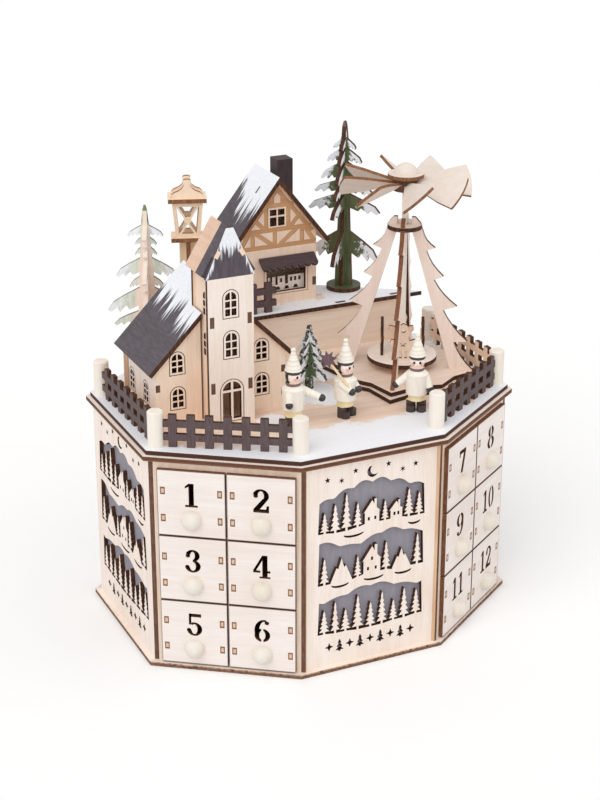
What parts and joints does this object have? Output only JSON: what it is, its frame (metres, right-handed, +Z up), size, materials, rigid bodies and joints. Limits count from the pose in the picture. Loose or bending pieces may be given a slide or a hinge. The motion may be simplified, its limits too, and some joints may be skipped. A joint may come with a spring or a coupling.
{
  "type": "wooden advent calendar",
  "caption": "Free-standing octagonal plywood advent calendar with numbered sliding drawers, fretted walls and a winter village with a turning pyramid on top.",
  "frame": {"origin": "centre of the base board's underside, on the surface it stands on", "axes": "+Z up; -Y towards the front fretted wall; +X to the right seen from the front"},
  "size_m": [0.269, 0.227, 0.312],
  "materials": {
    "pale_plywood": "matt",
    "grey_backing": "thin matt sheet",
    "dark_painted_wood": "matt",
    "green_painted_wood": "matt",
    "white_painted_wood": "matt",
    "ivory_painted_wood": "matt"
  },
  "bodies": {
    "calendar": {"base_board": "pale_plywood", "fret_panels": "pale_plywood", "fret_backings": "grey_backing", "bank_side_walls": "pale_plywood", "drawer_frames": "pale_plywood", "bank_shelves": "pale_plywood", "bank_dividers": "pale_plywood", "bank_backs": "pale_plywood", "lid_board": "pale_plywood", "deck_board": "white_painted_wood", "fence_posts": "pale_plywood", "picket_fences": "dark_painted_wood", "terrace_walls": "pale_plywood", "terrace_top": "white_painted_wood", "nave_walls": "pale_plywood", "nave_roof": "dark_painted_wood", "tower_walls": "pale_plywood", "tower_roof": "dark_painted_wood", "house_walls": "pale_plywood", "house_roof": "dark_painted_wood", "house_chimney": "dark_painted_wood", "stall_awning": "dark_painted_wood", "lantern_post": "pale_plywood", "lantern_head": "pale_plywood", "tall_tree": "green_painted_wood", "white_tree": "white_painted_wood", "small_tree": "green_painted_wood", "caroler_left": "ivory_painted_wood", "caroler_middle": "ivory_painted_wood", "caroler_right": "ivory_painted_wood", "pyramid_base": "pale_plywood", "pyramid_legs": "pale_plywood", "pyramid_top_plate": "pale_plywood"},
    "drawer_01": {"drawer_01": "pale_plywood"},
    "drawer_02": {"drawer_02": "pale_plywood"},
    "drawer_03": {"drawer_03": "pale_plywood"},
    "drawer_04": {"drawer_04": "pale_plywood"},
    "drawer_05": {"drawer_05": "pale_plywood"},
    "drawer_06": {"drawer_06": "pale_plywood"},
    "drawer_07": {"drawer_07": "pale_plywood"},
    "drawer_08": {"drawer_08": "pale_plywood"},
    "drawer_09": {"drawer_09": "pale_plywood"},
    "drawer_10": {"drawer_10": "pale_plywood"},
    "drawer_11": {"drawer_11": "pale_plywood"},
    "drawer_12": {"drawer_12": "pale_plywood"},
    "drawer_13": {"drawer_13": "pale_plywood"},
    "drawer_14": {"drawer_14": "pale_plywood"},
    "drawer_15": {"drawer_15": "pale_plywood"},
    "drawer_16": {"drawer_16": "pale_plywood"},
    "drawer_17": {"drawer_17": "pale_plywood"},
    "drawer_18": {"drawer_18": "pale_plywood"},
    "drawer_19": {"drawer_19": "pale_plywood"},
    "drawer_20": {"drawer_20": "pale_plywood"},
    "drawer_21": {"drawer_21": "pale_plywood"},
    "drawer_22": {"drawer_22": "pale_plywood"},
    "drawer_23": {"drawer_23": "pale_plywood"},
    "drawer_24": {"drawer_24": "pale_plywood"},
    "rotor": {"rotor_spindle": "pale_plywood", "rotor_turntable": "pale_plywood", "rotor_blades": "pale_plywood"}
  },
  "joints": [
    {"name": "drawer_01_slide", "type": "slide", "parent": "calendar", "child": "drawer_01", "axis": [-0.574, -0.8189, 0], "range_m": [0, 0.042]},
    {"name": "drawer_02_slide", "type": "slide", "parent": "calendar", "child": "drawer_02", "axis": [-0.574, -0.8189, 0], "range_m": [0, 0.042]},
    {"name": "drawer_03_slide", "type": "slide", "parent": "calendar", "child": "drawer_03", "axis": [-0.574, -0.8189, 0], "range_m": [0, 0.042]},
    {"name": "drawer_04_slide", "type": "slide", "parent": "calendar", "child": "drawer_04", "axis": [-0.574, -0.8189, 0], "range_m": [0, 0.042]},
    {"name": "drawer_05_slide", "type": "slide", "parent": "calendar", "child": "drawer_05", "axis": [-0.574, -0.8189, 0], "range_m": [0, 0.042]},
    {"name": "drawer_06_slide", "type": "slide", "parent": "calendar", "child": "drawer_06", "axis": [-0.574, -0.8189, 0], "range_m": [0, 0.042]},
    {"name": "drawer_07_slide", "type": "slide", "parent": "calendar", "child": "drawer_07", "axis": [0.574, -0.8189, 0], "range_m": [0, 0.042]},
    {"name": "drawer_08_slide", "type": "slide", "parent": "calendar", "child": "drawer_08", "axis": [0.574, -0.8189, 0], "range_m": [0, 0.042]},
    {"name": "drawer_09_slide", "type": "slide", "parent": "calendar", "child": "drawer_09", "axis": [0.574, -0.8189, 0], "range_m": [0, 0.042]},
    {"name": "drawer_10_slide", "type": "slide", "parent": "calendar", "child": "drawer_10", "axis": [0.574, -0.8189, 0], "range_m": [0, 0.042]},
    {"name": "drawer_11_slide", "type": "slide", "parent": "calendar", "child": "drawer_11", "axis": [0.574, -0.8189, 0], "range_m": [0, 0.042]},
    {"name": "drawer_12_slide", "type": "slide", "parent": "calendar", "child": "drawer_12", "axis": [0.574, -0.8189, 0], "range_m": [0, 0.042]},
    {"name": "drawer_13_slide", "type": "slide", "parent": "calendar", "child": "drawer_13", "axis": [0.574, 0.8189, 0], "range_m": [0, 0.042]},
    {"name": "drawer_14_slide", "type": "slide", "parent": "calendar", "child": "drawer_14", "axis": [0.574, 0.8189, 0], "range_m": [0, 0.042]},
    {"name": "drawer_15_slide", "type": "slide", "parent": "calendar", "child": "drawer_15", "axis": [0.574, 0.8189, 0], "range_m": [0, 0.042]},
    {"name": "drawer_16_slide", "type": "slide", "parent": "calendar", "child": "drawer_16", "axis": [0.574, 0.8189, 0], "range_m": [0, 0.042]},
    {"name": "drawer_17_slide", "type": "slide", "parent": "calendar", "child": "drawer_17", "axis": [0.574, 0.8189, 0], "range_m": [0, 0.042]},
    {"name": "drawer_18_slide", "type": "slide", "parent": "calendar", "child": "drawer_18", "axis": [0.574, 0.8189, 0], "range_m": [0, 0.042]},
    {"name": "drawer_19_slide", "type": "slide", "parent": "calendar", "child": "drawer_19", "axis": [-0.574, 0.8189, 0], "range_m": [0, 0.042]},
    {"name": "drawer_20_slide", "type": "slide", "parent": "calendar", "child": "drawer_20", "axis": [-0.574, 0.8189, 0], "range_m": [0, 0.042]},
    {"name": "drawer_21_slide", "type": "slide", "parent": "calendar", "child": "drawer_21", "axis": [-0.574, 0.8189, 0], "range_m": [0, 0.042]},
    {"name": "drawer_22_slide", "type": "slide", "parent": "calendar", "child": "drawer_22", "axis": [-0.574, 0.8189, 0], "range_m": [0, 0.042]},
    {"name": "drawer_23_slide", "type": "slide", "parent": "calendar", "child": "drawer_23", "axis": [-0.574, 0.8189, 0], "range_m": [0, 0.042]},
    {"name": "drawer_24_slide", "type": "slide", "parent": "calendar", "child": "drawer_24", "axis": [-0.574, 0.8189, 0], "range_m": [0, 0.042]},
    {"name": "rotor_spin", "type": "hinge", "parent": "calendar", "child": "rotor", "pos_m": [0.076, -0.004, 0.16], "axis": [0, 0, 1], "continuous": true}
  ]
}
